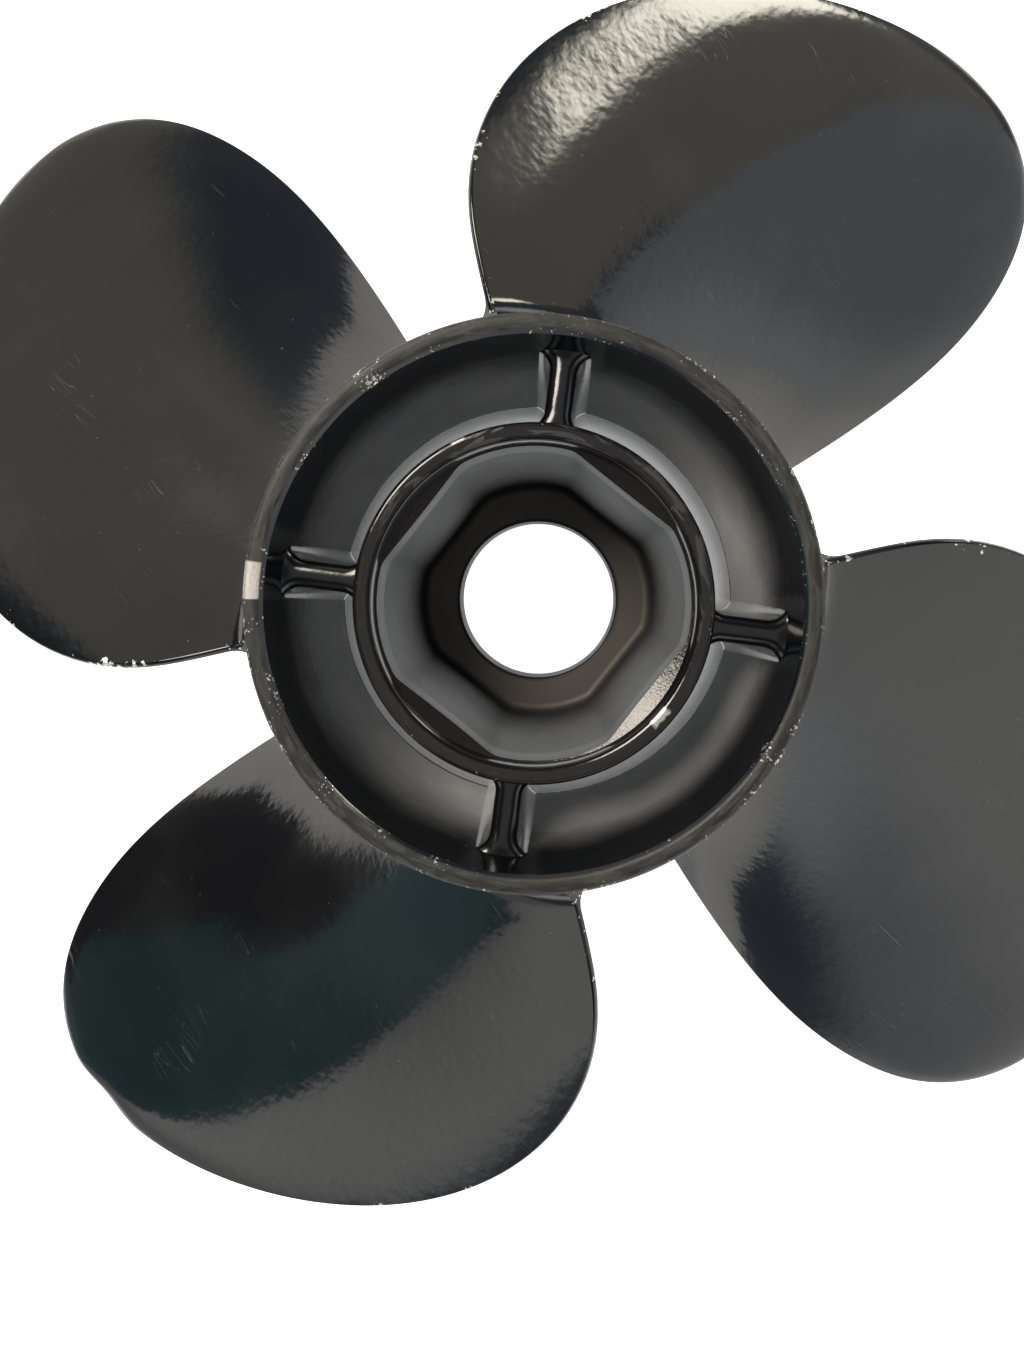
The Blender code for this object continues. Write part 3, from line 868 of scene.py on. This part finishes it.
def hub_ring_paint():
    """Glossy brown-black, rubbed in long patches by the thrust washer, with rough ledges in the mouth."""
    material, nodes, shader = new_material("worn_hub_paint")
    place = nodes.place()
    radius, angle, height = nodes.round_shaft(place)
    ring = nodes.unrolled(radius, angle, height, HUB_FRONT_RADIUS)
    top = nodes.rise(height, HUB_FRONT_Z - 0.0008, HUB_FRONT_Z - 0.0002)
    along = nodes.stretched(ring, (620.0, 105.0, 300.0))
    rubbed = nodes.rise(nodes.noise(along, 1.0, 4.0, 0.8), 0.52, 0.6)
    worn_side = nodes.rise(nodes.math("COSINE", nodes.total(angle, -0.4)), -0.2, 0.7, 0.12, 1.0)
    rubbed = nodes.times(rubbed, top, worn_side)
    wall = nodes.add("ShaderNodeAttribute", attribute_name="socket_wall").outputs["Fac"]
    ledge = nodes.rise(height, HUB_FRONT_Z - 0.0032, HUB_FRONT_Z - 0.0028, 1.0, 0.0)
    ledge = nodes.times(ledge, nodes.less(wall))
    metal = collar_metal(nodes, place, radius, angle, top)
    grit = nodes.noise(place, 1900.0, 2.0)

    colour = nodes.mix(nodes.noise(place, 40.0), HUB_BROWN, PAINT_BLACK)
    colour = nodes.mix(nodes.times(rubbed, 0.8), colour, WORN_LIGHT)
    colour = nodes.mix(wall, colour, socket_tone(nodes, place, height))
    # Bare metal at the nicks and the chip; the same metal colour makes the painted highlight patch
    colour = nodes.mix(metal, colour, BARE_METAL)
    rough = nodes.total(nodes.times(rubbed, 0.22), nodes.times(ledge, 0.1), nodes.times(wall, 0.3))
    rough = nodes.total(rough, nodes.times(metal, 0.2), 0.12)
    relief = nodes.total(paint_relief(nodes, place), nodes.times(rubbed, -14.0))
    relief = nodes.total(relief, nodes.times(grit, ledge, 60.0))
    nodes.feed(shader, Base_Color=colour, Roughness=rough, Metallic=metal, Normal=nodes.bump(relief))
    return material


def socket_tone(nodes, place, height):
    """The socket's dry paint: grey by the mouth, brown on the floor, with painted shade that darkens the
    wall towards its foot.
    """
    grain = nodes.noise(place, 2400.0, 3.0)
    level = nodes.total(height, nodes.times(nodes.noise(place, 60.0), 0.01))
    # Painted shade: the wall darkens from grey by the mouth to near black at its foot, deep in the socket
    up = nodes.rise(level, FLOOR_Z + 0.010, FLOOR_Z + 0.052)
    wall = nodes.mix(up, SOCKET_PAINTED_SHADE, SOCKET_GREY)
    wall = nodes.mix(nodes.rise(grain, 0.35, 0.7, 0.0, 0.3), wall, SOCKET_GRAIN)
    floor = nodes.rise(height, FLOOR_Z + 0.0002, FLOOR_Z + 0.0012, 1.0, 0.0)
    return nodes.mix(floor, wall, nodes.mix(grain, FLOOR_BROWN, FLOOR_DARK))


def socket_paint():
    """The socket's dry paint on a rough casting, with painted shade towards the wall's foot and a black
    chamfer at the shaft hole.
    """
    material, nodes, shader = new_material("thin_socket_paint")
    place = nodes.place()
    radius, _, height = nodes.round_shaft(place)
    colour = socket_tone(nodes, place, height)
    chamfer = nodes.times(
        nodes.rise(radius, SHAFT_HOLE_RADIUS + 0.0008, SHAFT_HOLE_RADIUS + 0.0012, 1.0, 0.0),
        nodes.rise(height, FLOOR_Z - 0.02, FLOOR_Z - 0.019),
    )
    colour = nodes.mix(chamfer, colour, PAINT_BLACK)
    rough = nodes.total(nodes.times(nodes.noise(place, 50.0, 3.0), 0.25), 0.4)
    fine = nodes.times(nodes.noise(place, 1300.0, 3.0), 26.0)
    coarse = nodes.times(nodes.noise(place, 90.0), 60.0)
    relief = nodes.total(fine, coarse)
    nodes.feed(shader, Base_Color=colour, Roughness=rough, Normal=nodes.bump(relief))
    return material


# --- stage --------------------------------------------------------------------------------------


def make_floor():
    """A plain white floor that glows a little, as bright as the background."""
    side = FLOOR_HALF_SIDE
    corners = [(-side, -side, 0), (side, -side, 0), (side, side, 0), (-side, side, 0)]
    floor = mesh_object("floor", corners, [(0, 1, 2, 3)])
    material, nodes, shader = new_material("pale_floor", specular=0.1)
    tone = nodes.mix(nodes.noise(nodes.place(), 3.0), (0.80, 0.80, 0.80), (0.84, 0.84, 0.84))
    nodes.feed(shader, Base_Color=tone, Roughness=0.9)
    nodes.feed(shader, Emission_Color=(1.0, 1.0, 1.0, 1.0), Emission_Strength=FLOOR_GLOW)
    floor.data.materials.append(material)


def make_world():
    """A plain studio: large soft panels round a dark room, placed by compass angle and elevation."""
    world = bpy.data.worlds.new("studio")
    bpy.context.scene.world = world
    world.use_nodes = True
    nodes = Nodes(world.node_tree)
    turned_place = nodes.add("ShaderNodeVectorRotate", rotation_type="Z_AXIS")
    direction = nodes.add("ShaderNodeTexCoord").outputs["Generated"]
    nodes.feed(turned_place, Vector=direction, Angle=math.radians(-PANEL_ZERO))
    parts = nodes.add("ShaderNodeSeparateXYZ")
    nodes.feed(parts, Vector=turned_place.outputs[0])
    x, y, z = parts.outputs
    compass = nodes.math("DEGREES", nodes.math("ARCTAN2", y, x))
    elevation = nodes.math("DEGREES", nodes.math("ARCSINE", z))
    light = nodes.mix(nodes.rise(elevation, *CEILING_LOW), ROOM, SHADE)
    light = nodes.mix(nodes.rise(elevation, *CEILING_HIGH), light, CEILING)
    for start, end, soft_start, soft_end, low, high, soft, colour in PANELS:
        across = nodes.window(compass, start - PANEL_ZERO, end - PANEL_ZERO, soft_start, soft_end)
        up = nodes.window(elevation, low, high, soft, soft)
        light = nodes.mix(nodes.times(across, up), light, colour)
    camera_ray = nodes.add("ShaderNodeLightPath").outputs["Is Camera Ray"]
    light = nodes.mix(camera_ray, light, (1.0, 1.0, 1.0))
    nodes.feed(world.node_tree.nodes["Background"], Color=light, Strength=1.0)


def make_key_light():
    """A warm lamp high on one side, unseen by the camera."""
    data = bpy.data.lights.new("key", "AREA")
    data.shape = "DISK"
    data.size = KEY_SIZE
    data.energy = KEY_POWER
    data.color = (1.0, 0.92, 0.80)
    key = bpy.data.objects.new("key", data)
    key.visible_camera = False
    bpy.context.scene.collection.objects.link(key)
    compass, elevation = (math.radians(value) for value in KEY_DIRECTION)
    direction = Vector((math.cos(compass), math.sin(compass), math.tan(elevation))).normalized()
    key.location = direction * KEY_DISTANCE
    key.rotation_euler = direction.to_track_quat("Z", "Y").to_euler()


def make_camera():
    """A camera close above the front rim, looking almost straight down the shaft."""
    turn = Matrix.Rotation(VIEW_TURN, 3, "Z")
    rim_centre = Vector((0.0, 0.0, FRONT_Z))
    data = bpy.data.cameras.new("camera")
    data.lens = LENS
    data.sensor_width = SENSOR
    data.shift_x, data.shift_y = CAMERA_SHIFT
    data.clip_start = 0.01
    camera = bpy.data.objects.new("camera", data)
    bpy.context.scene.collection.objects.link(camera)
    back = (turn @ (CAMERA_OFFSET - CAMERA_AIM)).normalized()
    right = (turn @ Vector((0.0, 1.0, 0.0))).cross(back).normalized()
    up = back.cross(right)
    place = Matrix((right, up, back)).transposed().to_4x4()
    place.translation = rim_centre + turn @ CAMERA_OFFSET
    camera.matrix_world = place
    bpy.context.scene.camera = camera


def main():
    bpy.context.scene.view_settings.view_transform = "Standard"
    blade_material = blade_paint()
    barrel_material = passage_paint("barrel_paint", whole=False)
    rib_material = passage_paint("rib_paint", whole=True)
    socket_material = socket_paint()
    make_front_rim(rim_paint())
    make_barrel(barrel_material)
    make_diffuser_ring(barrel_material)
    make_hub_collar(hub_ring_paint())
    make_socket(socket_material)
    make_hub_flange(socket_material)
    for index in range(BLADES):
        make_rib(index, rib_material)
        make_blade(index, blade_material)
    make_floor()
    make_world()
    make_key_light()
    make_camera()


main()
